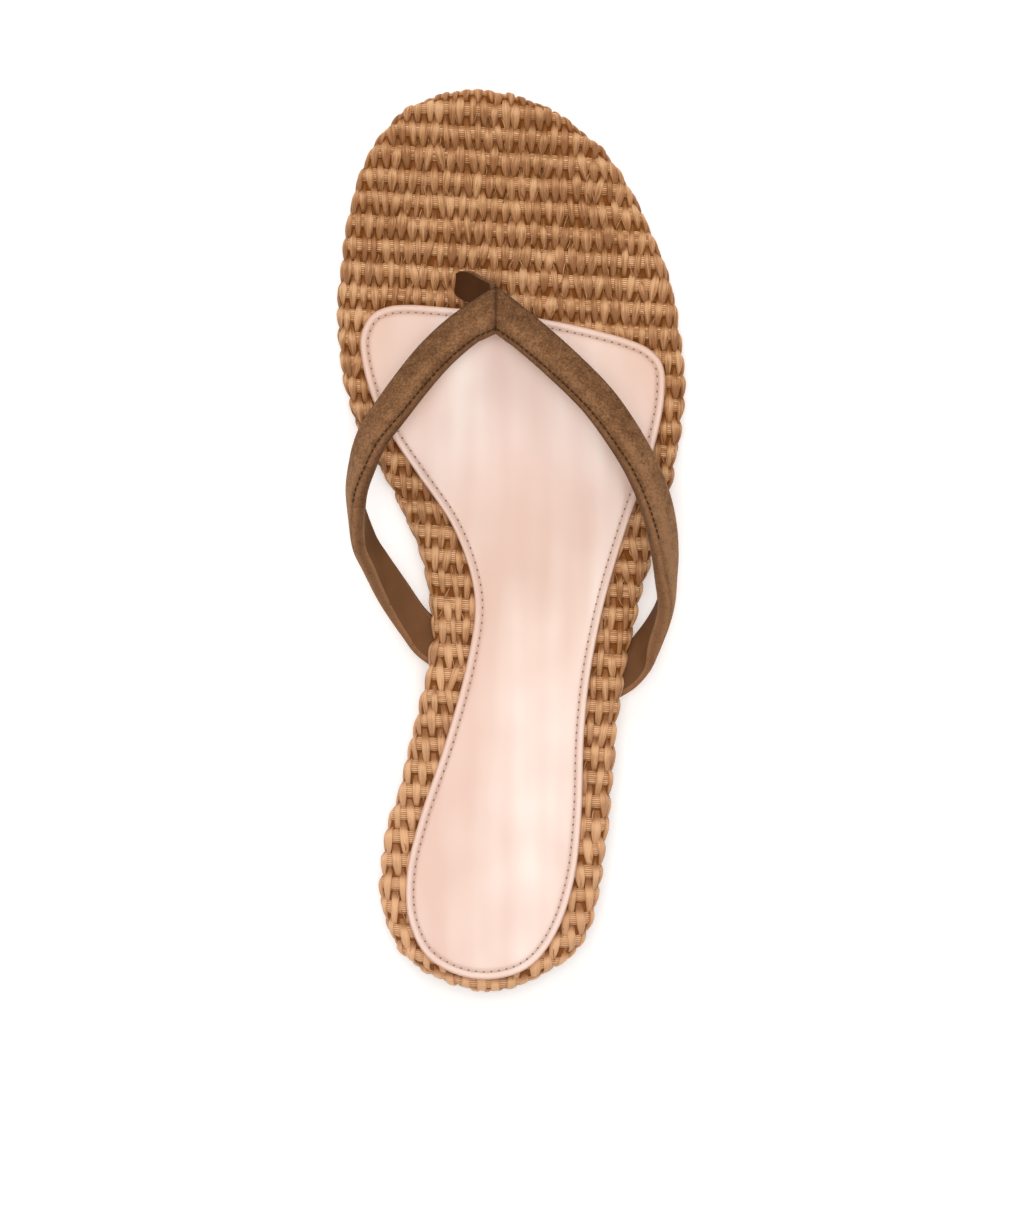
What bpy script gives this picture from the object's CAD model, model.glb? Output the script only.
"""Toe post sandal, right shoe: its woven footbed, stitched insole pad and padded suede strap, for a picture.

All sizes are metres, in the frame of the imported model: +Y to the toe, +X to the little toe's side, +Z up.
"""

import logging
import math
from collections.abc import Callable, Sequence
from dataclasses import dataclass, field
from enum import Enum

import bpy
import numpy as np
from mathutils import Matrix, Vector


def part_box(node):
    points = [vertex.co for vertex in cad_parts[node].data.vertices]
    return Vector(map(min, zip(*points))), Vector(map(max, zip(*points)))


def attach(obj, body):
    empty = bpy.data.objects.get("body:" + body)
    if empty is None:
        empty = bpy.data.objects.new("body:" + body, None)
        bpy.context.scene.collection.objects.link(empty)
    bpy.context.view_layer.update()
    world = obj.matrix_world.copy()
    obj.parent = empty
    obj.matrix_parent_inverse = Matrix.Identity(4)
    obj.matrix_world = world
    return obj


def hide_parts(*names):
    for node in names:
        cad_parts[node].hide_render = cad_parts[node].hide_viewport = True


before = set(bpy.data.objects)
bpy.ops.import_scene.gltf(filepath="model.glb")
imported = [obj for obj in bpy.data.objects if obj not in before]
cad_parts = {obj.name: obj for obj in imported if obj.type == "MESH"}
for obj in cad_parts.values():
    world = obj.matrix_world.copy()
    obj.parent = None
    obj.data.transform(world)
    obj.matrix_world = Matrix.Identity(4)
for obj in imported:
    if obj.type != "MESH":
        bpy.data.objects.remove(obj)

Array = np.ndarray
Colour = tuple[float, float, float, float]
Piece = bpy.types.Object
Socket = bpy.types.NodeSocket
Station = tuple[Array, Array, Array, Array]
log = logging.getLogger("sandal")
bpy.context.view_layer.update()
MM = 0.001


class Side(Enum):
    """The two sides of the shoe, as the sign of a strap's turn away from the apex."""

    MEDIAL = 1
    LATERAL = -1


def tint(red: int, green: int, blue: int) -> Colour:
    """A colour as a shader wants it.

    Args:
        red: how much red the screen shows, from 0 to 255.
        green: how much green.
        blue: how much blue.

    Returns:
        The colour in linear light, with full cover.
    """
    shares = np.array([red, green, blue]) / 255
    linear = np.where(shares <= 0.04045, shares / 12.92, ((shares + 0.055) / 1.055) ** 2.4)
    return (*(float(share) for share in linear), 1.0)


def unit(vectors: Array) -> Array:
    """The vectors at length 1."""
    return vectors / np.maximum(np.linalg.norm(vectors, axis=-1, keepdims=True), 1e-12)


def ease(share: Array) -> Array:
    """A smooth step from 0 to 1, level at both ends."""
    share = np.clip(share, 0, 1)
    return share * share * (3 - 2 * share)


def spline(rows: Sequence, steps: int, closed: bool = False, pace: int = 2) -> Array:
    """A smooth curve through rows of numbers.

    Args:
        rows: the rows that the curve passes through.
        steps: points for each span between two rows.
        closed: whether the last row joins the first.
        pace: how many of the first columns set the curve's pace.

    Returns:
        The curve's points, one a row.
    """
    rows = np.asarray(rows, dtype=float)
    if closed:
        rows = np.vstack([rows[-1], rows, rows[:2]])
    else:
        rows = np.vstack([2 * rows[0] - rows[1], rows, 2 * rows[-1] - rows[-2]])
    points = []
    for window in zip(rows, rows[1:], rows[2:], rows[3:]):
        gaps = [math.sqrt(np.linalg.norm((b - a)[:pace])) for a, b in zip(window, window[1:])]
        knots = np.concatenate([[0], np.cumsum(gaps)])
        t = np.linspace(knots[1], knots[2], steps, endpoint=False)[:, None]
        level = [row[None] for row in window]
        for order in (1, 2, 3):
            merged = []
            for i in range(len(level) - 1):
                low, high = (knots[1], knots[2]) if order == 3 else (knots[i], knots[i + order])
                part = (t - low) / (high - low)
                merged.append(level[i] * (1 - part) + level[i + 1] * part)
            level = merged
        points.append(level[0])
    if not closed:
        points.append(rows[-2][None])
    return np.vstack(points)


def select_only(obj: Piece) -> None:
    """Deselects everything and makes one object selected and active.

    Args:
        obj: the object.
    """
    bpy.ops.object.select_all(action="DESELECT")
    obj.select_set(True)
    bpy.context.view_layer.objects.active = obj


def sheet_primitive(name: str, across: int, along: int, copies: int = 1) -> Piece:
    """A flat grid with a UV map, to be laid in place, or several of them in one mesh.

    Args:
        name: the new object's name.
        across: faces in the grid's x direction.
        along: faces in its y direction.
        copies: how many grids the mesh holds.

    Returns:
        The object, with the grids' points row by row.
    """
    bpy.ops.object.select_all(action="DESELECT")
    bpy.ops.mesh.primitive_grid_add(x_subdivisions=across, y_subdivisions=along, size=1)
    obj = rename(bpy.context.active_object, name)
    if copies > 1:
        array = obj.modifiers.new("repeat", "ARRAY")
        array.count = copies
        array.use_relative_offset = False
        bpy.ops.object.modifier_apply(modifier=array.name)
    return obj


def lay(obj: Piece, points: Array, **marks: Array) -> None:
    """Puts a mesh's points in place and stores numbers on them.

    Args:
        obj: the object whose mesh is laid.
        points: its points' places, in the mesh's order.
        marks: a number for each point, under the attribute's name.
    """
    mesh = obj.data
    mesh.vertices.foreach_set("co", np.ascontiguousarray(points, dtype=np.float32).ravel())
    for name, values in marks.items():
        attribute = mesh.attributes.new(name, "FLOAT", "POINT")
        attribute.data.foreach_set("value", np.ascontiguousarray(values, dtype=np.float32).ravel())
    mesh.update()


def close_up(obj: Piece, merge: float = 1e-6, angle: float = 180.0) -> Piece:
    """Merges a mesh's doubled points, turns its faces outwards and shades it smooth.

    Args:
        obj: the object to finish.
        merge: how near to each other two points are taken for one.
        angle: faces that meet at more than this, in degrees, keep a sharp edge.

    Returns:
        The same object.
    """
    select_only(obj)
    bpy.ops.object.mode_set(mode="EDIT")
    bpy.ops.mesh.select_all(action="SELECT")
    bpy.ops.mesh.remove_doubles(threshold=merge)
    bpy.ops.mesh.dissolve_degenerate(threshold=1e-7)
    bpy.ops.mesh.normals_make_consistent(inside=False)
    bpy.ops.object.mode_set(mode="OBJECT")
    if angle < 180:
        bpy.ops.object.shade_smooth_by_angle(angle=math.radians(angle))
    else:
        bpy.ops.object.shade_smooth()
    return obj


def tube_piece(
    name: str, sections: Array, angle: float = 180.0, shut: bool = False, **marks: Array
) -> Piece:
    """A closed skin through rings of points.

    Args:
        name: the piece's name.
        sections: rings of points, as sections by points by coordinates. A ring's last point joins its first.
        angle: the angle past which an edge stays sharp, in degrees.
        shut: whether the first and the last ring are drawn together to a point.
        marks: a number for each point of each ring, under the attribute's name.

    Returns:
        The finished object.
    """
    ring = np.concatenate([sections, sections[:, :1]], axis=1)
    for end in (0, -1) if shut else ():
        ring[end] = sections[end].mean(axis=0)
    obj = sheet_primitive(name, ring.shape[1] - 1, ring.shape[0] - 1)
    wrapped = {key: np.concatenate([value, value[:, :1]], axis=1) for key, value in marks.items()}
    lay(obj, ring.reshape(-1, 3), **wrapped)
    return close_up(obj, angle=angle)


def join(name: str, pieces: list[Piece]) -> Piece:
    """Joins several objects into one.

    Args:
        name: the joined object's name.
        pieces: the objects, of which the first takes in the others.

    Returns:
        The joined object.
    """
    select_only(pieces[0])
    for piece in pieces[1:]:
        piece.select_set(True)
    bpy.ops.object.join()
    return rename(pieces[0], name)


def rename(obj: Piece, name: str) -> Piece:
    """Gives an object and its mesh a new name."""
    obj.name = obj.data.name = name
    return obj


class Recipe:
    """A material under construction: its nodes, its shader and short ways to add to them."""

    def __init__(self, name: str) -> None:
        """Starts a material that holds one Principled shader.

        Args:
            name: the material's name.
        """
        self.material = bpy.data.materials.new(name)
        self.material.use_nodes = True
        self.tree = self.material.node_tree
        self.shader = self.tree.nodes["Principled BSDF"]

    def add(self, kind: str, settings: dict | None = None, **sockets: object) -> bpy.types.Node:
        """Adds a node.

        Args:
            kind: the node's type, without the words ShaderNode.
            settings: the node's own properties.
            sockets: values or other nodes' outputs for its inputs, by name with _ for a space.

        Returns:
            The new node.
        """
        node = self.tree.nodes.new(f"ShaderNode{kind}")
        for key, value in (settings or {}).items():
            setattr(node, key, value)
        for key, value in sockets.items():
            self.feed(node, key.replace("_", " "), value)
        return node

    def feed(self, node: bpy.types.Node, socket: str | int, value: object) -> None:
        """Sets an input of a node, or links it to another node's output.

        Args:
            node: the node.
            socket: the input's name or number.
            value: its value, or the output that feeds it.
        """
        target = node.inputs[socket]
        if isinstance(value, Socket):
            self.tree.links.new(value, target)
        else:
            target.default_value = value

    def mark(self, name: str) -> Socket:
        """The number that the mesh stores under this name."""
        return self.add("Attribute", {"attribute_name": name}).outputs["Fac"]

    def place(
        self, scale: Sequence[float] = (1, 1, 1), turn: float = 0.0, uv: bool = False
    ) -> Socket:
        """Coordinates for a pattern, stretched and turned.

        Args:
            scale: how much finer the pattern gets along each axis.
            turn: how far it is turned about Z, in radians.
            uv: whether it lies on the UV map and not on the object.

        Returns:
            The coordinates.
        """
        source = self.add("TexCoord").outputs["UV" if uv else "Object"]
        mapping = self.add("Mapping", Vector=source, Scale=scale, Rotation=(0, 0, turn))
        return mapping.outputs["Vector"]

    def part(self, vector: Socket, axis: str) -> Socket:
        """One of the three numbers of some coordinates."""
        return self.add("SeparateXYZ", Vector=vector).outputs[axis]

    def noise(
        self, vector: Socket, scale: float, detail: float = 3.0, rough: float = 0.55
    ) -> Socket:
        """A cloudy pattern's value, from 0 to 1."""
        node = self.add("TexNoise", Vector=vector, Scale=scale, Detail=detail, Roughness=rough)
        return node.outputs["Fac"]

    def weigh(
        self, *terms: tuple[object, float], start: float = 0.0, clamp: bool = False
    ) -> Socket:
        """The sum of some numbers, each taken so many times.

        Args:
            terms: the numbers, each with its weight.
            start: what is added to their sum.
            clamp: whether every sum on the way is kept from 0 to 1.

        Returns:
            The sum.
        """
        total: object = start
        for value, weight in terms:
            node = self.add("Math", {"operation": "MULTIPLY_ADD", "use_clamp": clamp})
            for socket, number in enumerate((value, weight, total)):
                self.feed(node, socket, number)
            total = node.outputs["Value"]
        return total

    def ramp(
        self, value: Socket, stops: Sequence[tuple[float, Colour]]
    ) -> Socket:
        """A colour that runs through the stops as a value goes from 0 to 1.

        Args:
            value: the value.
            stops: places from 0 to 1, each with its colour.

        Returns:
            The colour.
        """
        node = self.add("ValToRGB", Fac=value)
        elements = node.color_ramp.elements
        while len(elements) < len(stops):
            elements.new(0.5)
        for element, (at, colour) in zip(elements, stops):
            element.position = at
            element.color = colour
        return node.outputs["Color"]

    def mix(self, share: object, first: object, second: object) -> Socket:
        """Two colours blended.

        Args:
            share: how much of the second there is, from 0 to 1.
            first: the first colour.
            second: the second colour.

        Returns:
            The blend.
        """
        node = self.add("Mix", {"data_type": "RGBA"})
        for socket, value in ((0, share), (6, first), (7, second)):
            self.feed(node, socket, value)
        return node.outputs[2]

    def bump(self, height: Socket, depth: float, strength: float = 1.0) -> None:
        """Raises the surface by a height pattern, on top of any earlier one.

        Args:
            height: the pattern.
            depth: how high its value 1 stands, in metres.
            strength: how much of it shows.
        """
        previous = self.shader.inputs["Normal"].links
        node = self.add("Bump", Height=height, Distance=depth, Strength=strength)
        if previous:
            self.tree.links.new(previous[0].from_socket, node.inputs["Normal"])
        self.tree.links.new(node.outputs["Normal"], self.shader.inputs["Normal"])

    def finish(self, colour: object, **sockets: object) -> bpy.types.Material:
        """Gives the shader its colour and the rest of its values.

        Args:
            colour: the colour, or the output that gives it.
            sockets: the shader's other inputs, by name with _ for a space.

        Returns:
            The material.
        """
        self.feed(self.shader, "Base Color", colour)
        for key, value in sockets.items():
            self.feed(self.shader, key.replace("_", " "), value)
        return self.material


@dataclass(frozen=True)
class Raffia:
    """Woven raffia: silky tan tapes with fine lengthwise fibres, browner where they dive under a cord."""

    name: str = "raffia_tape"
    light: Colour = tint(220, 170, 122)
    middle: Colour = tint(188, 134, 86)
    dark: Colour = tint(152, 98, 54)
    shade: Colour = tint(128, 72, 24)
    honey: Colour = tint(242, 188, 142)
    ribs: float = 9.0
    roughness: float = 0.5
    gleam: float = 0.40
    heel_turn: float = -0.5
    heel_paling: float = 5.6

    def material(self) -> bpy.types.Material:
        """Builds the material: streaks along V, and a tone from the strand's own marks.

        Returns:
            The material.
        """
        recipe = Recipe(self.name)
        own, deep = recipe.mark("tone"), recipe.mark("deep")
        lengthwise = recipe.place((self.ribs, 1.6, 1), uv=True)
        x, y = (recipe.part(lengthwise, axis) for axis in "XY")
        strand = recipe.add("CombineXYZ", X=x, Y=y, Z=recipe.weigh((own, 60.0))).outputs["Vector"]
        streaks = recipe.noise(strand, 1.0, 3.0, 0.65)
        grain = recipe.noise(recipe.place(), 900.0, 2.0)
        patches = recipe.noise(recipe.place(), 70.0, 2.0)
        to_heel = recipe.part(recipe.place((1, -1.1, 1), self.heel_turn), "Y")
        own_sheen = recipe.mark("sheen")
        tone = recipe.weigh(
            (own, 1.0), (streaks, 2.0), (patches, 0.6), (to_heel, 1.0), (own_sheen, 1.0), start=-1.3
        )
        clean = recipe.ramp(tone, ((0.12, self.dark), (0.5, self.middle), (0.9, self.light)))
        clean = recipe.mix(recipe.weigh((to_heel, self.heel_paling), clamp=True), clean, self.honey)
        recipe.bump(recipe.weigh((streaks, 1.0), (grain, 0.35)), 0.00035, 0.9)
        return recipe.finish(
            recipe.mix(deep, clean, self.shade),
            Roughness=recipe.weigh((grain, 0.2), start=self.roughness - 0.1),
            Specular_IOR_Level=recipe.weigh((deep, -self.gleam), start=self.gleam),
        )


@dataclass(frozen=True)
class Suede:
    """Brown suede: a soft mottled nap with a fine grain, paler where it is brushed up."""

    name: str = "strap_suede"
    light: Colour = tint(154, 112, 78)
    middle: Colour = tint(117, 80, 51)
    dark: Colour = tint(80, 51, 30)
    edge: Colour = tint(52, 31, 16)
    rim: Colour = tint(158, 106, 72)
    nap_glow: Colour = tint(214, 176, 140)

    def material(self) -> bpy.types.Material:
        """Builds the material. The mark "edge" darkens folds and seams, and "rim" reddens the cut edge.

        Returns:
            The material.
        """
        recipe = Recipe(self.name)
        brushed = recipe.noise(recipe.place(), 320.0, 4.0, 0.65)
        clouds = recipe.noise(recipe.place(), 90.0, 2.0)
        nap = recipe.noise(recipe.place(), 1500.0, 3.0, 0.7)
        fine = recipe.noise(recipe.place(), 3600.0, 2.0, 0.7)
        own_sheen = recipe.mark("sheen")
        value = recipe.weigh((brushed, 0.5), (clouds, 0.2), (nap, 0.8), (own_sheen, 1.0), start=-0.25)
        face = recipe.ramp(value, ((0.28, self.dark), (0.5, self.middle), (0.74, self.light)))
        face = recipe.mix(recipe.mark("rim"), face, self.rim)
        recipe.bump(nap, 0.00022, 0.7)
        recipe.bump(fine, 0.00010, 0.6)
        return recipe.finish(
            recipe.mix(recipe.mark("edge"), face, self.edge), Roughness=0.95, Specular_IOR_Level=0.15,
            Sheen_Weight=0.22, Sheen_Roughness=0.5, Sheen_Tint=self.nap_glow,
        )


@dataclass(frozen=True)
class PadLeather:
    """Glossy pale pink leather with soft lengthwise creases of light and a rolled edge."""

    name: str = "insole_pad_leather"
    light: Colour = tint(233, 204, 189)
    middle: Colour = tint(224, 189, 172)
    rosy: Colour = tint(215, 172, 151)
    gloss: Colour = tint(246, 227, 215)
    tan: Colour = tint(206, 160, 132)
    roughness: float = 0.30

    def material(self) -> bpy.types.Material:
        """Builds the material. Long soft streaks run from heel to toe, and the mark "tips" tans the corners.

        Returns:
            The material.
        """
        recipe = Recipe(self.name)
        streaks = recipe.noise(recipe.place((58, 7, 1), math.radians(-7)), 1.0, 2.0, 0.5)
        clouds = recipe.noise(recipe.place(), 26.0, 2.0)
        pores = recipe.noise(recipe.place(), 2600.0, 2.0)
        stops = (0.38, self.rosy), (0.5, self.middle), (0.59, self.light), (0.70, self.gloss)
        colour = recipe.ramp(recipe.weigh((streaks, 0.6), (clouds, 0.4)), stops)
        colour = recipe.mix(recipe.mark("rim"), colour, self.middle)
        colour = recipe.mix(recipe.mark("tips"), colour, self.tan)
        recipe.bump(streaks, 0.0012, 0.5)
        recipe.bump(pores, 0.00003, 0.4)
        return recipe.finish(
            colour, Roughness=self.roughness, Specular_IOR_Level=0.4, Coat_Weight=0.30, Coat_Roughness=0.16
        )


@dataclass(frozen=True)
class PlainLeather:
    """Plain dyed leather with a fine grain, for the lining, the toe post, the sole and the lift."""

    name: str
    light: Colour
    dark: Colour
    grain: float = 900.0
    roughness: float = 0.5
    shine: float = 0.4

    def material(self) -> bpy.types.Material:
        """Builds the material from a soft cloud of tone and a pebbled grain.

        Returns:
            The material.
        """
        recipe = Recipe(self.name)
        clouds = recipe.noise(recipe.place(), 60.0, 3.0)
        pebbles = recipe.add("TexVoronoi", Vector=recipe.place(), Scale=self.grain).outputs["Distance"]
        recipe.bump(pebbles, 0.00006, 0.5)
        colour = recipe.ramp(clouds, ((0.3, self.dark), (0.7, self.light)))
        return recipe.finish(colour, Roughness=self.roughness, Specular_IOR_Level=self.shine)


@dataclass(frozen=True)
class Thread:
    """Twisted sewing thread."""

    name: str
    colour: Colour
    shade: Colour

    def material(self) -> bpy.types.Material:
        """Builds the material, with the twist as slanting bands along the thread.

        Returns:
            The material.
        """
        recipe = Recipe(self.name)
        bands = recipe.place((6, 9, 1), uv=True)
        twist = recipe.add("TexWave", {"bands_direction": "DIAGONAL"}, Vector=bands, Scale=1.0).outputs["Fac"]
        recipe.bump(twist, 0.00006, 0.6)
        colour = recipe.ramp(twist, ((0.1, self.shade), (0.6, self.colour)))
        return recipe.finish(colour, Roughness=0.85, Specular_IOR_Level=0.08)


def dress(obj: Piece, material: bpy.types.Material) -> Piece:
    """Gives an object its only material.

    Args:
        obj: the object.
        material: the material.

    Returns:
        The same object.
    """
    obj.data.materials.clear()
    obj.data.materials.append(material)
    return obj


def plate(half: float, count: int, low: float, high: float) -> Array:
    """A flat strip's section, going round it.

    Args:
        half: half its width.
        count: points on each of its two faces.
        low: the height of the first face.
        high: the height of the second.

    Returns:
        The section's points.
    """
    across = np.linspace(-half, half, count)
    first, second = np.full(count, low), np.full(count, high)
    return np.vstack([np.column_stack([across, first]), np.column_stack([across[::-1], second])])


@dataclass
class Outline:
    """A closed outline in plan, with the distance of any point inside it."""

    points: Array
    inward: Array = field(init=False)

    def __post_init__(self) -> None:
        """Works out which way is inwards at each point."""
        ahead = np.roll(self.points, -1, axis=0) - np.roll(self.points, 1, axis=0)
        self.inward = unit(np.column_stack([-ahead[:, 1], ahead[:, 0]]))

    def inset(self, depth: float) -> Array:
        """The outline's points moved inwards by a depth."""
        return self.points + depth * self.inward

    def nearest(self, plan: Array) -> tuple[Array, Array, Array]:
        """Where the outline is nearest to some points.

        Args:
            plan: the points, as rows of x and y.

        Returns:
            The nearest places, the inward directions there and the depths inside, negative outside.
        """
        block = 4000
        index = np.empty(len(plan), dtype=int)
        for start in range(0, len(plan), block):
            some = plan[start : start + block]
            gaps = (some[:, :1] - self.points[:, 0]) ** 2 + (some[:, 1:] - self.points[:, 1]) ** 2
            index[start : start + block] = gaps.argmin(axis=1)
        after = (index + 1) % len(self.points)
        run = self.points[after] - self.points[index - 1]
        slide = ((plan - self.points[index]) * run).sum(axis=1) / (run**2).sum(axis=1)
        slide = np.clip(slide, -0.5, 0.5)[:, None]
        place = self.points[index] + slide * run
        turn = self.inward[after] - self.inward[index - 1]
        inward = unit(self.inward[index] + slide * turn)
        return place, inward, ((plan - place) * inward).sum(axis=1)

    def edges(self, shares: Array, slant: float, depth: float) -> tuple[Array, Array]:
        """The outline's two sides at some shares of the way from heel to toe.

        Args:
            shares: the shares, rising from 0 to 1.
            slant: how far the lines from side to side lean, in radians.
            depth: how far inside the outline the points lie.

        Returns:
            The left points and the right points, as rows of x and y.
        """
        points = self.inset(depth)
        reach = points[:, 1] + math.tan(slant) * points[:, 0]
        low = int(reach.argmin())
        points, reach = np.roll(points, -low, axis=0), np.roll(reach, -low)
        split = int(reach.argmax())
        levels = reach[0] + shares * (reach[split] - reach[0])
        left_order = np.append(np.arange(split, len(points)), 0)[::-1]
        sides = []
        for order in (left_order, np.arange(split + 1)):
            at = np.maximum.accumulate(reach[order])
            sides.append(np.column_stack([np.interp(levels, at, points[order, i]) for i in (0, 1)]))
        return sides[0], sides[1]


@dataclass
class Sole:
    """The plan and the levels that every piece of the shoe is placed by."""

    length: float = 0.248
    ball_width: float = 0.096
    footbed_thickness: float = 0.0070
    outsole_thickness: float = 0.0030
    lift_thickness: float = 0.0060
    toe_spring: float = 0.0070
    outsole_inset: float = 0.0020
    lift_inset: float = 0.0028
    pad_thickness: float = 0.0014
    rib_height: float = 0.0007
    clearance: float = 0.0003
    heel_flat_end: float = 0.28
    ball_flat_start: float = 0.62
    ball_flat_end: float = 0.78
    heel_breast: float = 0.27
    even_share: float = 0.35
    steps: int = 20
    # along the length, medial edge and lateral edge, as shares of the length and of the ball width
    footbed_rows: tuple = (
        (0.000, -0.060, -0.060), (0.024, -0.251, 0.114), (0.046, -0.317, 0.186), (0.068, -0.349, 0.220),
        (0.113, -0.373, 0.252), (0.170, -0.363, 0.273), (0.224, -0.323, 0.289), (0.290, -0.280, 0.302),
        (0.357, -0.240, 0.326), (0.401, -0.228, 0.350), (0.445, -0.237, 0.377), (0.490, -0.266, 0.411),
        (0.534, -0.311, 0.445), (0.585, -0.380, 0.470), (0.623, -0.437, 0.486), (0.667, -0.474, 0.500),
        (0.712, -0.491, 0.491), (0.756, -0.500, 0.476), (0.800, -0.488, 0.448), (0.845, -0.474, 0.400),
        (0.889, -0.449, 0.344), (0.934, -0.403, 0.262), (0.956, -0.360, 0.197), (0.978, -0.303, 0.118),
        (0.992, -0.224, 0.020), (1.000, -0.105, -0.105),
    )
    # across and along, going round from the middle of the front edge
    pad_rows: tuple = (
        (-0.030, 0.754), (-0.157, 0.758), (-0.290, 0.762), (-0.352, 0.760), (-0.400, 0.751), (-0.429, 0.730),
        (-0.430, 0.708), (-0.397, 0.658), (-0.343, 0.618), (-0.269, 0.575), (-0.171, 0.519), (-0.117, 0.465),
        (-0.103, 0.425), (-0.126, 0.365), (-0.186, 0.279), (-0.263, 0.190), (-0.298, 0.130), (-0.291, 0.079),
        (-0.237, 0.039), (-0.126, 0.017), (-0.010, 0.018), (0.069, 0.034), (0.134, 0.070), (0.180, 0.125),
        (0.200, 0.190), (0.209, 0.287), (0.226, 0.352), (0.266, 0.430), (0.334, 0.519), (0.409, 0.602),
        (0.440, 0.664), (0.434, 0.696), (0.400, 0.712), (0.349, 0.722), (0.220, 0.736), (0.097, 0.746),
    )
    shift: Array = field(init=False)
    footbed: Outline = field(init=False)
    pad: Outline = field(init=False)

    def __post_init__(self) -> None:
        """Draws the two outlines, with the footbed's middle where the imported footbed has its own."""
        self.shift = np.zeros(2)
        lateral = [(right, along) for along, _, right in self.footbed_rows]
        medial = [(left, along) for along, left, _ in self.footbed_rows[-2:0:-1]]
        plan = spline([self.at(*point) for point in lateral + medial], self.steps, closed=True)
        low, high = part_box("footbed")
        packed = np.array([low.x + high.x, low.y + high.y]) / 2
        self.shift = packed - (plan.min(axis=0) + plan.max(axis=0)) / 2
        self.footbed = Outline(plan + self.shift)
        self.pad = Outline(spline([self.at(*point) for point in self.pad_rows], self.steps, closed=True))

    def at(self, across: float, along: float) -> tuple[float, float]:
        """Plan coordinates of a point given as shares of the ball width and of the length."""
        return across * self.ball_width + self.shift[0], (along - 0.5) * self.length + self.shift[1]

    def outsole_under(self, y: Array) -> Array:
        """Height of the outsole's underside: level at heel and ball, with an arch and toe spring.

        Args:
            y: where along the shoe.

        Returns:
            The heights there.
        """
        share = np.asarray(y) / self.length + 0.5
        fall = ease((share - self.heel_flat_end) / (self.ball_flat_start - self.heel_flat_end))
        spring = np.clip((share - self.ball_flat_end) / (1 - self.ball_flat_end), 0, None)
        return (self.lift_thickness + self.clearance) * (1 - fall) + self.toe_spring * spring**2

    def footbed_under(self, y: Array) -> Array:
        """Height of the footbed's underside."""
        return self.outsole_under(y) + self.outsole_thickness + self.clearance

    def footbed_top(self, y: Array) -> Array:
        """Height of the footbed's top."""
        return self.footbed_under(y) + self.footbed_thickness

    def pad_under(self, y: Array) -> Array:
        """Height of the insole pad's underside."""
        return self.footbed_top(y) + self.rib_height / 2 + self.clearance

    def slab(
        self, outline: Outline, wall: Sequence[tuple[float, float]], under: Callable[[Array], Array],
        slant: float = 0.0, end: float = 1.0, across: int = 24, count: int = 160,
    ) -> Array:
        """Rings of points round a slab that follows an outline.

        Args:
            outline: the slab's outline.
            wall: inset and height of the wall's points, from the underside's edge to the top's, in metres.
            under: the height of the underside at a y.
            slant: how far the rings lean from the x direction, in radians.
            end: where the slab stops, as a share of its length.
            across: points from side to side.
            count: how many rings there are.

        Returns:
            The rings' points.
        """
        turn = np.linspace(0, 1, count)
        if end == 1:
            shares = self.even_share * turn + (1 - self.even_share) * (1 - np.cos(np.pi * turn)) / 2
        else:
            shares = end * (self.even_share * turn + (1 - self.even_share) * (1 - np.cos(np.pi * turn / 2)))
        left, right = [], []
        for depth, height in wall:
            for side, points in zip((left, right), outline.edges(shares, slant, depth)):
                side.append(np.column_stack([points, np.full(count, height)]))
        left, right = np.array(left), np.array(right)
        part = np.linspace(0, 1, across)[:, None, None]
        bottom = left[0] * (1 - part) + right[0] * part
        top = right[-1] * (1 - part) + left[-1] * part
        rings = np.concatenate([bottom, right[1:-1], top, left[-2:0:-1]]).transpose(1, 0, 2)
        rings[..., 2] += under(rings[..., 1])
        return rings


@dataclass
class FootbedSkin:
    """The footbed's surface, unrolled: a plan that goes on past the outline and down the side."""

    sole: Sole
    corner_inset: float = 0.0023
    corner_drop: float = 0.0028
    foot_inset: float = 0.0020
    foot_rise: float = 0.0025
    tuck: float = 0.0012
    seat: float = 0.00045
    arc: Array = field(init=False)
    inset: Array = field(init=False)
    height: Array = field(init=False)
    tilt: Array = field(init=False)

    def __post_init__(self) -> None:
        """Draws the side's profile, from the edge of the flat top to just under the footbed."""
        turn = np.linspace(0, math.pi / 2, 24)
        rise, fall = np.sin(turn), 1 - np.cos(turn)
        top = self.sole.footbed_thickness
        upper = np.column_stack([self.corner_inset * (1 - rise), top - self.corner_drop * fall])
        lower = np.column_stack([self.foot_inset * fall, self.foot_rise * (1 - rise)])
        under = np.array([[self.foot_inset + self.tuck, 0.0]])
        profile = np.vstack([upper, lower, under])
        self.arc = np.concatenate([[0], np.cumsum(np.linalg.norm(np.diff(profile, axis=0), axis=1))])
        self.inset, self.height = profile.T
        way = unit(np.gradient(profile, self.arc, axis=0))
        self.tilt = np.column_stack([way[:, 1], -way[:, 0]])

    def lay(self, plan: Array, raised: Array) -> Array:
        """Places on the skin.

        Args:
            plan: x and y of the points before the skin is wrapped round the edge.
            raised: how far each point stands off the skin.

        Returns:
            The points in space.
        """
        spot, inward, depth = self.sole.footbed.nearest(plan)
        arc = self.corner_inset - depth
        wrapped = arc > 0
        inset, height = (np.interp(arc, self.arc, profile) for profile in (self.inset, self.height))
        tilt = unit(np.column_stack([np.interp(arc, self.arc, self.tilt[:, i]) for i in (0, 1)]))
        tilt = np.where(wrapped[:, None], tilt, (0, 1))
        raised = raised - self.seat * np.abs(tilt[:, 0])
        flat = np.where(wrapped[:, None], spot + (inset + raised * tilt[:, 0])[:, None] * inward, plan)
        height = np.where(wrapped, height, self.sole.footbed_thickness)
        return np.column_stack([flat, self.sole.footbed_under(flat[:, 1]) + height + raised * tilt[:, 1]])


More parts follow.
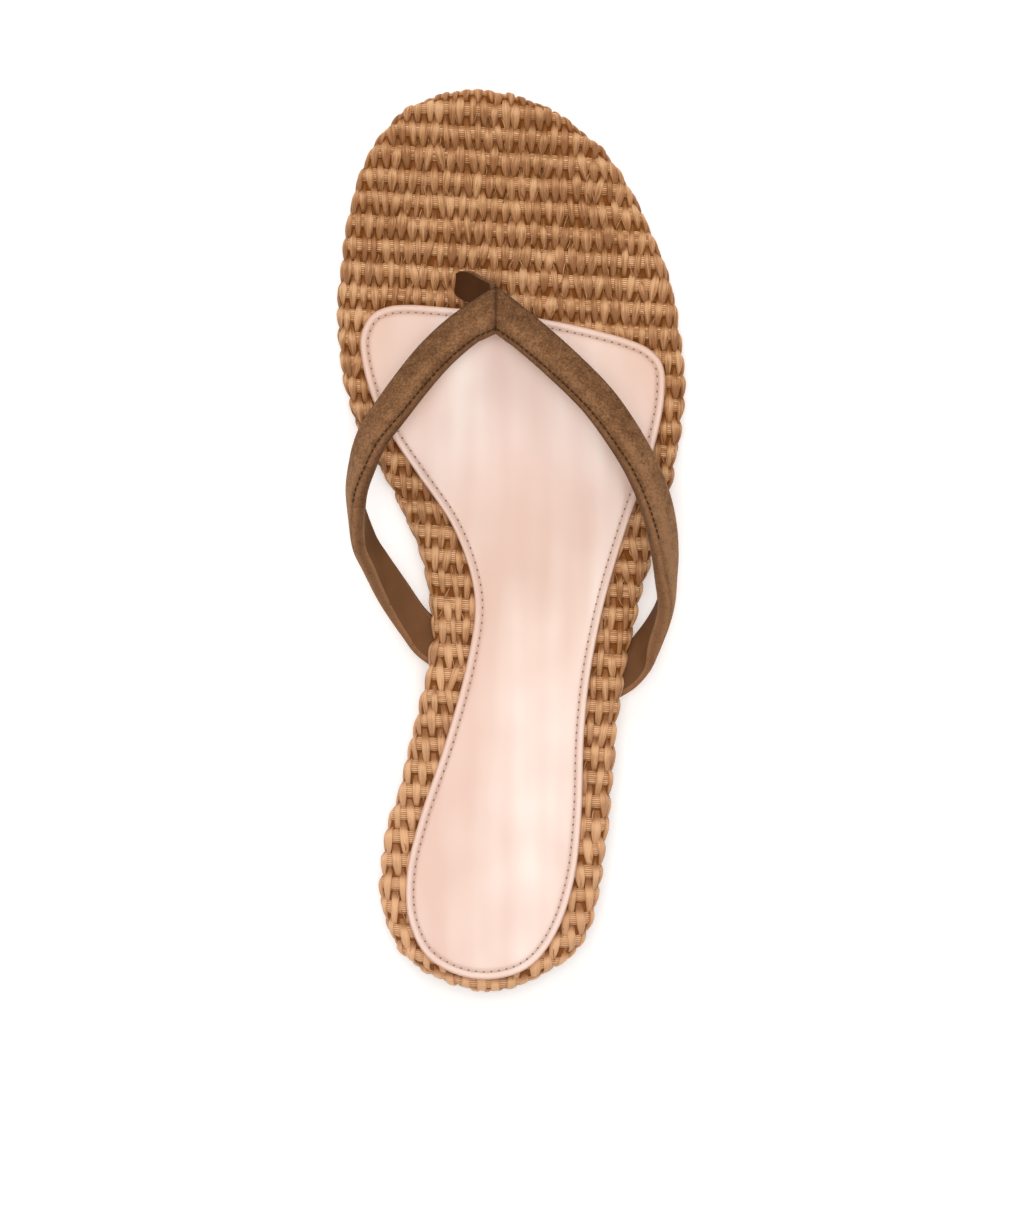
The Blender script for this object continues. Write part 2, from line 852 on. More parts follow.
@dataclass
class WovenFootbed:
    """The footbed: a dark core with bundles of cords across it and smooth tapes woven over them."""

    sole: Sole
    skin: FootbedSkin
    rows: int = 38
    row_shift: float = -0.12
    row_stretch: float = 0.994
    slant: float = math.radians(3.5)
    fore_period: float = 0.0030
    waist_period: float = 0.0035
    heel_period: float = 0.0042
    fore_tape: float = 0.395
    waist_tape: float = 0.280
    anchor: float = 0.042
    fore_end: float = 0.060
    waist_start: float = 0.005
    heel_start: float = -0.035
    cords: int = 7
    fibre_share: float = 0.95
    bundle_share: float = 0.31
    crest: float = 0.00035
    sag: float = 0.00032
    floor: float = -0.0012
    tape_crest: float = 0.00060
    tape_sink: float = -0.0011
    step: float = 0.00068
    hidden: float = 0.0035
    heel_fade: float = 0.05
    press_reach: float = 0.0016
    core_sink: float = -0.00085
    cord_groove: float = 0.00016
    half_width: float = 0.066
    squash: float = 0.0002
    tape_swell: float = 0.00034
    tape_top: float = 0.27
    tape_point: float = 0.18
    tape_rise: float = 0.80
    tape_fall: float = 0.86
    waist_end: float = 0.01
    waist_fade: float = 0.05
    # how much the tapes differ: aside, forth, in width, height, lean and length
    faults: tuple = (0.00022, 0.00045, 0.15, 0.00014, 0.09, 0.06)
    seed: int = 7

    def period(self, y: Array) -> Array:
        """Distance between two tapes of one row, finer at the toe than at the waist.

        Args:
            y: where along the shoe.

        Returns:
            The distances there.
        """
        waist = ease((self.fore_end - y) / (self.fore_end - self.waist_start))
        heel = ease((self.heel_start - y) / self.heel_fade)
        widening = (self.waist_period - self.fore_period) * waist
        return self.fore_period + widening + (self.heel_period - self.waist_period) * heel

    def level(self, row: Array) -> Array:
        """Where a row's middle line crosses the centre line of the shoe.

        Args:
            row: the row's number, from the heel.

        Returns:
            The line's y there.
        """
        reach = self.sole.footbed.points @ np.array([math.tan(self.slant), 1.0])
        place = (self.row_stretch * row + 0.5 + self.row_shift) / self.rows
        return reach.min() + place * (reach.max() - reach.min())

    def pitch(self) -> float:
        """Distance between two rows."""
        return float(self.level(np.array(1.0)) - self.level(np.array(0.0)))

    def shown(self, plan: Array, margin: float) -> Array:
        """Whether points lie on the skin and not far under the insole pad.

        Args:
            plan: the points, as rows of x and y.
            margin: how far they have to be from the skin's end.

        Returns:
            True for each point that does.
        """
        depth = self.sole.footbed.nearest(plan)[2]
        pad = self.sole.pad.nearest(plan)[2]
        return (depth > self.skin.corner_inset - self.skin.arc[-1] + margin) & (pad < self.hidden)

    def pressed(self, plan: Array) -> Array:
        """How far the pad presses the weave down, from 0 away from it to 1 at its edge."""
        return 1 - ease(-self.sole.pad.nearest(plan)[2] / self.press_reach)

    def core(self) -> Piece:
        """The wrapped board under the weave, as a closed body with a rounded edge.

        Returns:
            The finished object.
        """
        walls = []
        for inset, height, tilt in zip(self.skin.inset, self.skin.height, self.skin.tilt):
            walls.append((inset + self.core_sink * tilt[0], max(height + self.core_sink * tilt[1], 0.0)))
        wall = walls[-2:0:-2] + [walls[0]]
        rings = self.sole.slab(self.sole.footbed, wall, self.sole.footbed_under, across=9)
        shape = rings.shape[:2]
        return tube_piece("footbed_core", rings, deep=np.full(shape, 0.92), tone=np.full(shape, 0.4))

    def bundles(self) -> list[Piece]:
        """The bundles of cords that run from side to side.

        Returns:
            One strip for each stretch that shows.
        """
        pieces = []
        rng = np.random.default_rng(self.seed)
        ribs = np.linspace(-1, 1, 4 * self.cords + 1)
        cord = np.clip((ribs + 1) / 2 * self.cords, 0, self.cords - 1).astype(int)
        half = self.bundle_share * self.pitch()
        for row in range(-3, self.rows + 3):
            x = np.arange(-self.half_width, self.half_width, self.step)
            y = self.level(np.array(float(row))) - math.tan(self.slant) * x
            tone = rng.uniform(0.35, 0.95, self.cords)[cord]
            for start, stop in self.runs(self.shown(np.column_stack([x, y]), 0.0)):
                if stop - start > 4:
                    pieces.append(self.bundle(row, x[start:stop], y[start:stop], half, ribs, tone, rng))
        return pieces

    @staticmethod
    def runs(shown: Array) -> list[tuple[int, int]]:
        """Start and end of each run of true values."""
        edges = np.flatnonzero(np.diff(np.concatenate([[0], shown.astype(int), [0]])))
        return list(zip(edges[::2], edges[1::2]))

    def bundle(
        self, row: int, x: Array, y: Array, half: float, ribs: Array, tone: Array, rng: np.random.Generator
    ) -> Piece:
        """One strip of cords, pulled down where a tape crosses it and swelling up between two tapes.

        Args:
            row: the strip's row.
            x: where its stations are across the shoe.
            y: where they are along it.
            half: half the strip's width.
            ribs: the points from one edge of the strip to the other, from -1 to 1.
            tone: each of these points' own tone.
            rng: where the small faults come from.

        Returns:
            The strip.
        """
        count = len(x)
        dome = np.clip(1 - np.abs(ribs) ** 3.2, 0, 1) ** 0.5
        rib = np.abs(np.sin(math.pi * self.cords * (ribs + 1) / 2)) ** 0.7 - 1
        across = ribs * half
        start = np.where(x < 0, -1, 1) * self.anchor
        under = 0.5 + 0.5 * np.cos(math.pi * ((x - start) / (self.period(y) / 2) + row))
        top = self.crest - self.sag * under**0.8 + rng.normal(0, 0.00003, count)
        wobble = np.convolve(rng.normal(0, 0.00022, count + 8), np.ones(9) / 9, "valid")
        height = self.floor + (top[:, None] - self.floor) * dome
        height = height + self.cord_groove * rib * (1.1 - 0.4 * under)[:, None]
        plan_x = np.repeat(x[:, None], len(across), axis=1)
        plan_y = y[:, None] + wobble[:, None] + across * (1 - 0.10 * under)[:, None]
        plan = np.stack([plan_x, plan_y], axis=-1)
        press = self.squash * self.pressed(plan.reshape(-1, 2)).reshape(height.shape)
        height = np.minimum(height, self.crest - press) - press
        below = y[:, None] + np.repeat(across[None, [-1, 0]] * 0.8, count, axis=0)
        plan = np.concatenate([plan, np.stack([plan_x[:, :2], below], axis=-1)], axis=1)
        height = np.hstack([height, np.full((count, 2), self.floor - 0.0001)])
        for end in (0, -1):
            plan[end] = plan[end].mean(axis=0)
            height[end] = self.floor
        points = self.skin.lay(plan.reshape(-1, 2), height.ravel()).reshape(*height.shape, 3)
        groove = 0.8 * np.clip(-rib, 0, 1) ** 2
        deep = np.clip(groove + (1 - dome) ** 1.5 * 0.9 + 0.25 * under[:, None], 0, 1)
        deep = np.hstack([deep, np.ones((count, 2))])
        shades = np.hstack([np.repeat(tone[None], count, axis=0), np.full((count, 2), 0.4)])
        return tube_piece("strip", points, deep=deep, tone=shades)

    def tape_lattice(self) -> Array:
        """Finds every tape that shows.

        Returns:
            A line for each tape: its row, its column, and the x and y of its middle.
        """
        found = []
        for row in range(-4, self.rows + 4):
            middle = float(self.level(np.array(float(row))))
            for side in (-1, 1):
                for column in range(-18, 34):
                    k = column * -side
                    x = side * self.anchor
                    for _ in range(3):
                        y = middle - math.tan(self.slant) * x
                        x = side * self.anchor + k * float(self.period(np.array(y))) / 2
                    if (k + row) % 2 == 0 and x * side > 1e-9 * side:
                        found.append((row, k, x, y))
        lattice = np.array(found)
        return lattice[self.shown(lattice[:, 2:], 0.0006)]

    def tapes(self) -> Piece:
        """The smooth tapes that cross over a bundle and dive under the next one on each side.

        Returns:
            All of them as one object.
        """
        lattice = self.tape_lattice()
        turn = np.radians([0, 26, 58, 90, 122, 154, 180, 225, 315, 360])[None, None, :]
        around, along, count = turn.size - 1, 14, len(lattice)
        rng = np.random.default_rng(self.seed + 1)
        obj = sheet_primitive("warp_tapes", around, along, count)
        s = np.linspace(-1, 1, along + 1)[None, :, None]
        x, y = (lattice[:, i][:, None, None] for i in (2, 3))
        aside, forth, wide, tall, lean, long = (rng.normal(0, size, (count, 1, 1)) for size in self.faults)
        period = self.period(y)
        spread = ease((y - self.waist_end) / self.waist_fade)
        broad = self.waist_tape + (self.fore_tape - self.waist_tape) * spread
        up, down = np.clip(s, 0, 1), np.clip(-s, 0, 1)
        taper = np.clip((1 - np.abs(s)) * 9, 0, 1) ** 0.5
        half = period * broad * (1 + wide)
        narrowed = (self.tape_top * period - half) * ease(up / 0.6)
        pointed = (self.tape_point * period - half) * ease((down - 0.12) / 0.80) ** 1.15
        half = (half + narrowed + pointed) * taper
        reach = self.pitch() * (1 + long) * (self.tape_rise * up - self.tape_fall * down)
        quarter = math.pi / 2
        climb = np.cos(np.clip(up / 0.60, 0, 1) * quarter) ** 0.8
        climb = climb * np.cos(np.clip(down / 0.94, 0, 1) * quarter) ** 0.6
        middle = self.tape_sink + (self.tape_crest - 0.0002 + tall - self.tape_sink) * climb
        # lie along the columns, which fan out where the spacing grows
        ahead = (self.period(y + 0.001) - self.period(y - 0.001)) / 0.002
        fan = (x - np.sign(x) * self.anchor) / period * ahead
        plan_x = x + aside + half * np.cos(turn) + (fan + np.tan(lean)) * reach
        plan_y = y + forth + reach + 0 * turn
        plan = np.stack(np.broadcast_arrays(plan_x, plan_y), axis=-1)
        top, under = np.clip(np.sin(turn), 0, 1), np.clip(-np.sin(turn), 0, 1) ** 0.3
        height = middle + self.tape_swell * taper * top - (middle - self.floor) * under
        height = np.broadcast_to(height, plan.shape[:3])
        press = self.pressed(plan.reshape(-1, 2)).reshape(height.shape)
        height = height - press * (0.00030 + 0.25 * np.clip(height, 0, 1))
        tone = np.clip(rng.normal(0.52, 0.13, (count, 1, 1)), 0, 1)
        sheen = 0.36 * np.exp(-(((s - 0.10) / 0.24) ** 2)) - 0.14 - 0.18 * down
        hidden = (turn > math.pi) * (turn < 2 * math.pi)
        deep = 0.66 * ease((up - 0.20) / 0.40) + 0.55 * ease((down - 0.70) / 0.26) + 0.9 * hidden
        marks = {"tone": tone, "sheen": sheen, "deep": np.clip(deep, 0, 1)}
        points = self.skin.lay(plan.reshape(-1, 2), height.ravel())
        lay(obj, points, **{key: np.broadcast_to(value, height.shape) for key, value in marks.items()})
        return close_up(obj)

    def fibres(self) -> Piece:
        """Fine split fibres that stand off the tapes' edges and lie in the valleys between the rows.

        Returns:
            All of them as one object.
        """
        rng = np.random.default_rng(self.seed + 2)
        lattice = self.tape_lattice()
        inside = self.sole.footbed.nearest(lattice[:, 2:])[2] > 2 * self.skin.corner_inset
        lattice = lattice[(rng.random(len(lattice)) < self.fibre_share) & inside]
        around, along, count = 4, 8, len(lattice)
        obj = sheet_primitive("split_fibres", around, along, count)
        s = np.linspace(-1, 1, along + 1)[None, :, None]
        turn = np.linspace(0, 2 * math.pi, around + 1)[None, None, :]
        x, y = (lattice[:, i][:, None, None] for i in (2, 3))

        def draw(low: float, high: float) -> Array:
            """One random number for each fibre."""
            return rng.uniform(low, high, (count, 1, 1))

        half = draw(0.00008, 0.00020) * (1 - s**4)
        reach = draw(0.0009, 0.0024) * s
        aside = self.period(y) * draw(-0.55, 0.55) + draw(-0.55, 0.55) * reach
        aside = aside + draw(-0.0006, 0.0006) * (s**2 - 0.4)
        plan_x = x + aside + half * np.cos(turn)
        plan_y = y + self.pitch() * draw(-0.62, -0.36) + reach + 0 * turn
        plan = np.stack(np.broadcast_arrays(plan_x, plan_y), axis=-1)
        height = np.broadcast_to(draw(0.0003, 0.00085) - 0.0007 * s**2 + half * np.sin(turn), plan.shape[:3])
        press = self.pressed(plan.reshape(-1, 2)).reshape(height.shape)
        points = self.skin.lay(plan.reshape(-1, 2), (height - 0.0005 * press).ravel())
        marks = {"tone": draw(0.2, 1.3), "deep": draw(0.0, 0.4) + 0.3 * s**2}
        lay(obj, points, **{key: np.broadcast_to(value, height.shape) for key, value in marks.items()})
        return close_up(obj)

    def build(self) -> list[Piece]:
        """Builds and finishes the whole footbed.

        Returns:
            Its pieces.
        """
        raffia = Raffia().material()
        board = Raffia(name="raffia_core", light=tint(130, 84, 46), middle=tint(112, 70, 36)).material()
        tones = {"light": tint(238, 188, 140), "middle": tint(214, 158, 108), "dark": tint(180, 122, 76)}
        cord = Raffia(name="raffia_cord", ribs=3.0, **tones).material()
        pieces = [
            dress(self.core(), board),
            dress(join("weft_cords", self.bundles()), cord),
            dress(self.tapes(), raffia),
            dress(self.fibres(), raffia),
        ]
        for piece in pieces:
            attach(piece, "root")
            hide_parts("footbed")
        return pieces


@dataclass
class InsolePad:
    """The insole pad: a thin sheet of leather with a rolled edge, a sunk seam and its stitches."""

    sole: Sole
    slant: float = math.radians(9.5)
    seam_inset: float = 0.0021
    seam_depth: float = 0.00012
    stitch_pitch: float = 0.0021
    rim_width: float = 0.0020
    shade_width: float = 0.0003
    # a dot's half length, half width, half height, height over the seam's floor and shift between two holes
    thread_dot: tuple = (0.00078, 0.00017, 0.00016, 0.00008, 0.5)
    hole_dot: tuple = (0.00029, 0.00026, 0.00007, 0.00004, 0.0)

    def profile(self) -> list[tuple[float, float]]:
        """Draws the pad's edge.

        Returns:
            Inset and height of its points, from the underside to the middle.
        """
        thick = self.sole.pad_thickness
        seam = self.seam_inset
        return [
            (0.0003, -0.0003), (0.0, 0.15 * thick), (-0.00005, 0.45 * thick), (0.00004, 0.74 * thick),
            (0.00014, 0.93 * thick), (0.00030, 0.985 * thick), (0.00046, 1.0 * thick), (0.0009, 1.0 * thick),
            (seam - 0.0004, 0.99 * thick),
            (seam - 0.00018, thick - 0.8 * self.seam_depth), (seam, thick - self.seam_depth),
            (seam + 0.00018, thick - 0.8 * self.seam_depth), (seam + 0.0005, 0.975 * thick),
            (seam + 0.0012, 1.0 * thick), (seam + 0.0025, 1.01 * thick), (seam + 0.0050, 1.02 * thick),
        ]

    def body(self) -> Piece:
        """The leather itself, marked where its rim and seam are paler and its corners more tanned.

        Returns:
            The finished object.
        """
        rings = self.sole.slab(
            self.sole.pad, self.profile(), self.sole.pad_under, self.slant, across=26, count=260
        )
        depth = self.sole.pad.nearest(rings.reshape(-1, 3)[:, :2])[2].reshape(rings.shape[:2])
        beside_seam = np.exp(-(((depth - self.seam_inset) / self.shade_width) ** 2))
        rim = 0.6 * np.clip((self.rim_width - depth) / self.shade_width, 0, 1) + 0.35 * beside_seam
        across, along = np.abs(rings[..., 0]) / self.sole.ball_width, rings[..., 1] / self.sole.length + 0.5
        tips = 0.6 * ease((along - 0.58) / 0.12) * ease((across - 0.12) / 0.2)
        tips = tips + 0.2 * np.exp(-(((along - 0.38) / 0.12) ** 2))
        return tube_piece("insole_pad_leather", rings, rim=rim, tips=tips)

    def seam(self) -> tuple[Array, Array]:
        """The stitch holes' places.

        Returns:
            Places along the seam, a stitch apart, and the direction of the seam at each.
        """
        line = self.sole.pad.inset(self.seam_inset)
        closed = np.vstack([line, line[:1]])
        run = np.concatenate([[0], np.cumsum(np.linalg.norm(np.diff(closed, axis=0), axis=1))])
        count = round(run[-1] / self.stitch_pitch)
        at = np.arange(count) * run[-1] / count
        points = np.column_stack([np.interp(at, run, closed[:, i]) for i in (0, 1)])
        return points, unit(np.roll(points, -1, axis=0) - np.roll(points, 1, axis=0))

    def dots(
        self, name: str, half_long: float, half_wide: float, rise: float, out: float, shift: float
    ) -> Piece:
        """A row of small rounded dots along the seam, each like a grain of rice.

        Args:
            name: the piece's name.
            half_long: half a dot's length along the seam.
            half_wide: half its width.
            rise: half its height.
            out: how far its middle lies over the seam's floor.
            shift: where it stands between two stitch holes, as a share of the pitch.

        Returns:
            The finished object.
        """
        points, way = self.seam()
        points = points + shift * (np.roll(points, -1, axis=0) - points)
        around, along = 6, 6
        obj = sheet_primitive(name, around, along, len(points))
        turn = np.linspace(0, 2 * math.pi, around + 1)[None, None, :]
        lift = np.linspace(0, math.pi, along + 1)[None, :, None]
        x, y, tx, ty = (column[:, None, None] for column in (*points.T, *way.T))
        forward = -half_long * np.cos(lift)
        sideways = half_wide * np.sin(lift) * np.cos(turn)
        plan_x, plan_y = x + tx * forward - ty * sideways, y + ty * forward + tx * sideways
        middle = self.sole.pad_under(plan_y) + self.sole.pad_thickness - self.seam_depth + out
        z = middle + rise * np.sin(lift) * np.sin(turn)
        lay(obj, np.stack([plan_x, plan_y, z], axis=-1).reshape(-1, 3))
        return close_up(obj)

    def build(self) -> list[Piece]:
        """Builds and finishes the pad with its thread and holes.

        Returns:
            Its pieces.
        """
        leather = dress(self.body(), PadLeather().material())
        thread = dress(
            self.dots("pad_thread", *self.thread_dot),
            Thread("pale_thread", tint(246, 222, 208), tint(222, 190, 172)).material(),
        )
        holes = dress(
            self.dots("pad_pinholes", *self.hole_dot),
            PlainLeather("pinhole_shadow", tint(158, 126, 120), tint(132, 102, 98), shine=0.1).material(),
        )
        for piece in (leather, thread, holes):
            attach(piece, "root")
            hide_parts("insole_pad")
        return [leather, thread, holes]


@dataclass
class ThongStrap:
    """The padded V strap with its lining, seams and stitches, and the toe post."""

    sole: Sole
    width: float = 0.0102
    thickness: float = 0.0046
    rise: float = 0.0345
    tail_thickness: float = 0.0018
    tail_width: float = 0.0115
    post_width: float = 0.0090
    post_thickness: float = 0.0020
    post_lean: float = 0.0100
    post_tail: float = 0.0100
    post_setback: float = 0.0030
    post_base: tuple = (-0.150, 0.785)
    mitre_half_angle: float = math.radians(50)
    mitre_tilt: float = math.radians(12)
    steps: int = 14
    apex: tuple = (-0.043, 0.755, 0.690, 12)
    # across, along, rise and lean, from the apex to the side of the sole
    medial: tuple = (
        (-0.124, 0.736, 0.760, 14), (-0.222, 0.702, 0.870, 20), (-0.343, 0.643, 0.975, 32),
        (-0.396, 0.613, 1.000, 44), (-0.425, 0.584, 0.955, 58), (-0.444, 0.549, 0.830, 78),
        (-0.424, 0.500, 0.590, 115), (-0.390, 0.474, 0.440, 127), (-0.341, 0.443, 0.255, 145),
        (-0.278, 0.409, 0.100, 160),
    )
    lateral: tuple = (
        (0.040, 0.730, 0.770, 14), (0.143, 0.695, 0.860, 18), (0.246, 0.655, 0.930, 22),
        (0.311, 0.621, 0.950, 27), (0.366, 0.586, 0.915, 35), (0.408, 0.549, 0.830, 40),
        (0.435, 0.509, 0.700, 51), (0.447, 0.464, 0.490, 70), (0.443, 0.427, 0.300, 95),
        (0.396, 0.387, 0.135, 125), (0.360, 0.368, 0.060, 162),
    )
    medial_tail: tuple = ((-0.228, 0.390, 178), (-0.160, 0.374, 180), (-0.080, 0.362, 180))
    lateral_tail: tuple = ((0.320, 0.356, 178), (0.255, 0.342, 180), (0.185, 0.333, 180))
    # across towards the back edge and out towards the suede's face, as shares of the width and thickness
    section: tuple = (
        (-0.43, -0.50), (0.00, -0.50), (0.43, -0.50), (0.50, -0.22), (0.49, 0.12), (0.38, 0.38),
        (0.00, 0.50), (-0.38, 0.38), (-0.49, 0.12), (-0.50, -0.22),
    )
    post_rows: tuple = ((0.96, 0.98), (0.63, 0.64), (0.26, 0.27), (0.00, 0.00))
    stitch_line: float = 0.425
    stitch_height: float = 0.290
    stitch_pitch: float = 0.0017
    stitch_half_long: float = 0.00064
    stitch_half_wide: float = 0.00028
    stitch_half_thick: float = 0.00020
    stitch_groove: float = 0.045
    groove_width: float = 0.035
    seam_width: float = 0.00045
    spans_without_stitches: int = 7
    seam_sink: float = 0.0005

    def path(self, side: Side) -> Array:
        """The strap's middle line on one side, from the apex to the tail.

        Args:
            side: which side.

        Returns:
            Its points, each with x, y, z, lean, width and thickness.
        """
        free, tail = self.lateral, self.lateral_tail
        if side is Side.MEDIAL:
            free, tail = self.medial, self.medial_tail
        rows = []
        thick = [self.thickness] * len(free) + [(self.thickness + self.tail_thickness) / 2]
        for (across, along, rise, lean), depth in zip((self.apex, *free), thick):
            x, y = self.sole.at(across, along)
            rows.append((x, y, self.sole.footbed_under(y) + rise * self.rise, lean, self.width, depth))
        for across, along, lean in tail:
            x, y = self.sole.at(across, along)
            middle = self.sole.footbed_under(y) + self.tail_thickness / 2
            rows.append((x, y, middle, lean, self.tail_width, self.tail_thickness))
        return spline(rows, self.steps, pace=3)

    def frames(self, side: Side) -> list[Station]:
        """The strap's stations all along one side.

        Args:
            side: which side.

        Returns:
            Centre, width direction, face direction and size at each.
        """
        path = self.path(side)
        centre, lean = path[:, :3], np.radians(path[:, 3:4])
        forward = unit(np.gradient(centre, axis=0))
        flat = unit(side.value * np.column_stack([-forward[:, 1], forward[:, 0], np.zeros(len(path))]))
        upright = unit(np.array([0, 0, 1]) - forward * forward[:, 2:3])
        width_way = np.cos(lean) * flat + np.sin(lean) * upright
        face_way = np.cos(lean) * upright - np.sin(lean) * flat
        return list(zip(centre, width_way, face_way, path[:, 4:6]))

    def mitre(self) -> Station:
        """The station in the plane of the seam at the apex.

        Returns:
            Its centre, width direction, face direction and size.
        """
        across, along, rise, _ = self.apex
        x, y = self.sole.at(across, along)
        centre = np.array([x, y, float(self.sole.footbed_under(y)) + rise * self.rise])
        low, high = math.sin(self.mitre_tilt), math.cos(self.mitre_tilt)
        size = np.array([self.width / math.sin(self.mitre_half_angle), self.thickness])
        return centre, np.array([0, -high, low]), np.array([0, low, high]), size

    def stations(self) -> list[Station]:
        """Every station of the strap.

        Returns:
            Them, from the end of the medial tail over the apex to the end of the lateral one.
        """
        mitre = self.mitre()
        runs = []
        for side in Side:
            run = self.frames(side)[self.steps :]
            bridge = []
            for share in (0.04, 0.09, 0.2, 0.35, 0.5, 0.65, 0.8, 0.9):
                bridge.append(tuple(a * (1 - share) + b * share for a, b in zip(mitre, run[0])))
            runs.append(bridge + run)
        return runs[0][::-1] + [mitre] + runs[1]

    def seam_share(self) -> Array:
        """How near each station is to the mitre seam.

        Returns:
            From 0 far away to 1 on it, one for each station.
        """
        middle = self.mitre()[0]
        gaps = np.array([np.linalg.norm(station[0] - middle) for station in self.stations()])
        return np.exp(-((gaps / self.seam_width) ** 2))

    def rings(self, shape: Array) -> Array:
        """Sections of a band all along the strap.

        Args:
            shape: the section, as shares of the strap's width and thickness.

        Returns:
            The sections' points.
        """
        rings = []
        for centre, width_way, face_way, (width, thick) in self.stations():
            rings.append(centre + shape[:, :1] * width * width_way + shape[:, 1:] * thick * face_way)
        return np.array(rings)

    def cover(self) -> Piece:
        """The suede, padded on its outer face, with a sunk stitch line and the seam at the apex.

        Returns:
            The finished object.
        """
        shape = spline(self.section, 5, closed=True)
        across, outer = shape[:, 0], shape[:, 1] > 0.2
        groove = np.exp(-(((across - self.stitch_line) / self.groove_width) ** 2)) * outer
        rings = self.rings(shape - np.column_stack([0 * groove, self.stitch_groove * groove]))
        seam = self.seam_share()[:, None] * outer
        faces = np.array([station[2] for station in self.stations()])
        rings = rings - self.seam_sink * seam[..., None] * faces[:, None, :]
        from_middle = np.abs(np.linspace(0, 1, len(rings)) - 0.5)[:, None]
        ends = np.clip(from_middle * 4 - 0.9, 0, 1)
        low = np.clip(from_middle * 5 - 0.55, 0, 1)
        flange = np.clip((across - 0.45) / 0.03, 0, 1) * (shape[:, 1] > -0.2)
        rim = np.maximum(0.65 * ends * (np.abs(across) > 0.44), 0.22 * flange)
        front = np.clip((-0.40 - across) / 0.07, 0, 1)
        side = np.clip((np.abs(across) - 0.455) / 0.03, 0, 1) * np.clip((0.1 - shape[:, 1]) / 0.25, 0, 1)
        edge = np.clip(0.75 * seam + 0.35 * groove, 0, 1) + 0.5 * (1 - ends) * side + 0.7 * front
        ridge = 0.10 * np.exp(-(((across - 0.20) / 0.13) ** 2)) - 0.07 * np.clip(-across / 0.4, 0, 1)
        return tube_piece(
            "strap_suede", rings, shut=True, edge=np.clip(edge, 0, 1), rim=rim, sheen=ridge + 0.22 * low
        )

    def lining(self) -> Piece:
        """The smooth leather on the strap's inner side, let in between the suede's turned edges.

        Returns:
            The finished object.
        """
        return tube_piece("strap_lining", self.rings(plate(0.385, 9, -0.545, -0.472)), angle=50, shut=True)

    def stitches(self) -> Piece:
        """The row of stitches along the back edge of the suede's face.

        Returns:
            The finished object.
        """
        hidden = self.steps * self.spans_without_stitches
        line, across, outward = [], [], []
        for centre, width_way, face_way, (width, thick) in self.stations()[hidden:-hidden]:
            line.append(centre + self.stitch_line * width * width_way + self.stitch_height * thick * face_way)
            across.append(width_way)
            outward.append(face_way)
        run = np.concatenate([[0], np.cumsum(np.linalg.norm(np.diff(line, axis=0), axis=1))])
        count = int(run[-1] / self.stitch_pitch)
        around, along = 6, 6
        lift = np.linspace(0, math.pi, along + 1)
        middle = (np.arange(count) + 0.5) * run[-1] / count
        at = middle[:, None] - self.stitch_half_long * np.cos(lift)[None]
        line, across, outward = (
            np.stack([np.interp(at, run, column) for column in np.transpose(rows)], axis=-1)[:, :, None, :]
            for rows in (line, across, outward)
        )
        turn = np.linspace(0, 2 * math.pi, around + 1)[None, None, :, None]
        swell = np.sin(lift)[None, :, None, None]
        wide, thick = self.stitch_half_wide * np.cos(turn), self.stitch_half_thick * np.sin(turn)
        points = line + swell * (wide * across + thick * outward)
        obj = sheet_primitive("strap_stitches", around, along, count)
        lay(obj, points.reshape(-1, 3))
        return close_up(obj)

    def post_path(self) -> Array:
        """The toe post's middle line.

        Returns:
            Its points, from the apex through the footbed to the end of its tail.
        """
        x, y = self.sole.at(*self.post_base)
        base = float(self.sole.footbed_top(y))
        apex_y = self.sole.at(self.apex[0], self.apex[1])[1]
        height = float(self.sole.footbed_under(apex_y)) + self.apex[2] * self.rise - base
        points = []
        for out, up in self.post_rows:
            points.append((x + out * self.post_lean, y - out * self.post_setback, base + up * height))
        floor = float(self.sole.footbed_under(y)) + self.post_thickness / 2
        drop = base - floor
        for out, up in ((0.22, 0.50), (0.55, 0.14), (1.0, 0.0), (1.0 + self.post_tail / 2 / drop, 0.0)):
            points.append((x - out * drop, y, floor + up * drop))
        return spline(points, 10, pace=3)

    def post(self) -> tuple[Piece, Piece]:
        """The toe post: a flat suede band with dark leather let into both its faces.

        Returns:
            The band, and the leather.
        """
        path = self.post_path()
        forward = unit(np.gradient(path, axis=0))
        width_way = np.array([0.0, -1.0, 0.0])
        face_way = unit(np.cross(width_way, forward))[:, None]
        above = path[:, 2] - float(self.sole.footbed_top(self.sole.at(*self.post_base)[1]))
        narrow = 0.55 + 0.53 * np.sqrt(np.clip((above + 0.0004) / 0.0070, 0, 1))
        narrow = narrow * (1 - 0.46 * ease(above / above.max() * 1.15 - 0.15))
        width_way = self.post_width * narrow[:, None, None] * width_way

        def band(shape: Array) -> Array:
            """Sections of this shape all along the post."""
            wide, thick = shape[None, :, :1], shape[None, :, 1:] * self.post_thickness
            return path[:, None] + wide * width_way + thick * face_way

        turn = np.linspace(0, 2 * math.pi, 32, endpoint=False)
        rounded = np.column_stack([np.cos(turn), np.sin(turn)])
        rounded = np.sign(rounded) * np.abs(rounded) ** 0.42 * 0.5
        face = plate(0.46, 7, 0.56, 0.40)
        plates = [tube_piece("post_face", band(face * (1, sign)), angle=50, shut=True) for sign in (1, -1)]
        rings = band(rounded)
        edge = np.full(rings.shape[:2], 0.25)
        suede = tube_piece("post_suede", rings, shut=True, edge=edge)
        return suede, join("post_lining", plates)

